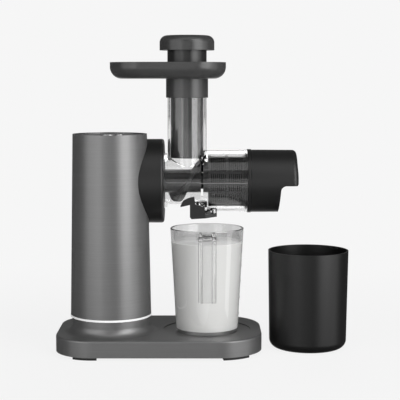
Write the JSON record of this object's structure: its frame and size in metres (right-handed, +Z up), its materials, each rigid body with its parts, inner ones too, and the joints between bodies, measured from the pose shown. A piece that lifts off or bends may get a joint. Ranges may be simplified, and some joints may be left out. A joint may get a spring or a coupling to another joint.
{
  "type": "cold press juicer",
  "caption": "Horizontal cold press juicer: base with a round motor tower, side drive hub, clear chamber with auger and filter, hopper with pusher, juice jug and pulp cup.",
  "frame": {"origin": "on the table, under the middle of the whole set: base, machine and pulp cup", "axes": "+Z up, -Y the front where the jug handle points, +X towards the end cap and the pulp cup"},
  "size_m": [0.348, 0.15, 0.373],
  "materials": {
    "housing_grey": "satin dark grey moulding with a fine metallic look",
    "black_plastic": "smooth satin black",
    "gloss_black": "glossy black panel",
    "bright_trim": "bright metal band",
    "button_silver": "light grey satin button",
    "rubber": "soft black rubber",
    "steel": "turned steel",
    "motor_steel": "zinc plated steel",
    "magnet": "sintered magnet",
    "bronze": "sintered bronze",
    "gear_nylon": "cream nylon",
    "cast_alloy": "die cast alloy",
    "circuit_board": "green circuit board",
    "clear_plastic": "clear hard plastic",
    "jug_clear": "clear hard plastic jug",
    "auger_black": "polished black",
    "filter_grey": "dark grey frame",
    "mesh_steel": "fine perforated steel",
    "stop_grey": "dark grey",
    "hopper_grey": "satin charcoal",
    "pusher_grey": "satin charcoal"
  },
  "bodies": {
    "root": {"base_cover": "housing_grey", "base_plate": "black_plastic", "rubber_feet": "rubber", "base_screws": "steel", "trim_ring": "bright_trim", "tower_shell": "housing_grey", "top_panel": "gloss_black", "start_spring": "steel", "reverse_spring": "steel", "control_board": "circuit_board", "button_switches": "black_plastic", "power_board": "circuit_board", "cord_gland": "rubber", "drive_hub": "black_plastic", "gearbox_housing": "cast_alloy", "gearbox_cover": "cast_alloy", "gearbox_screws": "steel", "motor_can": "motor_steel", "motor_end_bell": "black_plastic", "motor_magnets": "magnet", "motor_bearings": "bronze", "gear_axle": "steel", "output_bearings": "steel", "shaft_seal": "rubber"},
    "start_button": {"start_button": "button_silver"},
    "reverse_button": {"reverse_button": "button_silver"},
    "rotor": {"motor_shaft": "steel", "rotor_core": "motor_steel", "motor_pinion": "bronze"},
    "reduction": {"reduction_gear": "gear_nylon"},
    "output": {"output_gear": "motor_steel", "output_shaft": "steel", "drive_socket": "cast_alloy"},
    "chamber": {"juicer_chamber": "clear_plastic", "chamber_seal": "rubber", "drip_stop_pin": "steel"},
    "auger": {"auger": "auger_black", "auger_shaft": "steel"},
    "end_cap": {"end_cap": "black_plastic", "end_cap_seal": "rubber", "auger_bush": "bronze", "filter_frame": "filter_grey", "filter_mesh": "mesh_steel"},
    "drip_stop": {"drip_stop": "stop_grey", "drip_stop_seal": "rubber"},
    "hopper": {"hopper": "hopper_grey"},
    "pusher": {"pusher_body": "pusher_grey", "pusher_cap": "pusher_grey"},
    "jug": {"juice_jug": "jug_clear"},
    "cup": {"pulp_cup": "black_plastic"}
  },
  "joints": [
    {"name": "motor_spin", "type": "hinge", "parent": "root", "child": "rotor", "pos_m": [-0.1102, -0.011, 0.17], "axis": [1, 0, 0], "continuous": true},
    {"name": "reduction_spin", "type": "hinge", "parent": "root", "child": "reduction", "pos_m": [-0.1102, 0.01083, 0.175], "axis": [1, 0, 0], "continuous": true},
    {"name": "output_spin", "type": "hinge", "parent": "root", "child": "output", "pos_m": [-0.1102, 0.0105, 0.2], "axis": [1, 0, 0], "continuous": true},
    {"name": "auger_spin", "type": "hinge", "parent": "chamber", "child": "auger", "pos_m": [-0.0468, 0.0105, 0.2], "axis": [1, 0, 0], "continuous": true},
    {"name": "start_press", "type": "slide", "parent": "root", "child": "start_button", "axis": [0, 0, -1], "range_m": [0, 0.0015], "stiffness_N_per_m": 400, "springref_m": -0.002, "deforming": ["start_spring"]},
    {"name": "reverse_press", "type": "slide", "parent": "root", "child": "reverse_button", "axis": [0, 0, -1], "range_m": [0, 0.0015], "stiffness_N_per_m": 400, "springref_m": -0.002, "deforming": ["reverse_spring"]},
    {"name": "chamber_slide", "type": "slide", "parent": "root", "child": "chamber", "axis": [1, 0, 0], "range_m": [0, 0.07]},
    {"name": "end_cap_slide", "type": "slide", "parent": "chamber", "child": "end_cap", "axis": [1, 0, 0], "range_m": [0, 0.06]},
    {"name": "drip_stop_swing", "type": "hinge", "parent": "chamber", "child": "drip_stop", "pos_m": [0.0124, -0.006, 0.1635], "axis": [0, 0, 1], "range_deg": [0, 65]},
    {"name": "hopper_lift", "type": "slide", "parent": "chamber", "child": "hopper", "axis": [0, 0, 1], "range_m": [0, 0.08]},
    {"name": "pusher_lift", "type": "slide", "parent": "hopper", "child": "pusher", "axis": [0, 0, 1], "range_m": [0, 0.12]},
    {"name": "jug_draw", "type": "slide", "parent": "root", "child": "jug", "axis": [0, -0.9976, 0.0698], "range_m": [0, 0.12]},
    {"name": "cup_slide", "type": "slide", "parent": "root", "child": "cup", "axis": [1, 0, 0], "range_m": [0, 0.08]}
  ],
  "couplings": [
    {"joint": "reduction_spin", "follows": "motor_spin", "ratio": -0.33333},
    {"joint": "output_spin", "follows": "motor_spin", "ratio": 0.12963},
    {"joint": "auger_spin", "follows": "motor_spin", "ratio": 0.12963}
  ]
}
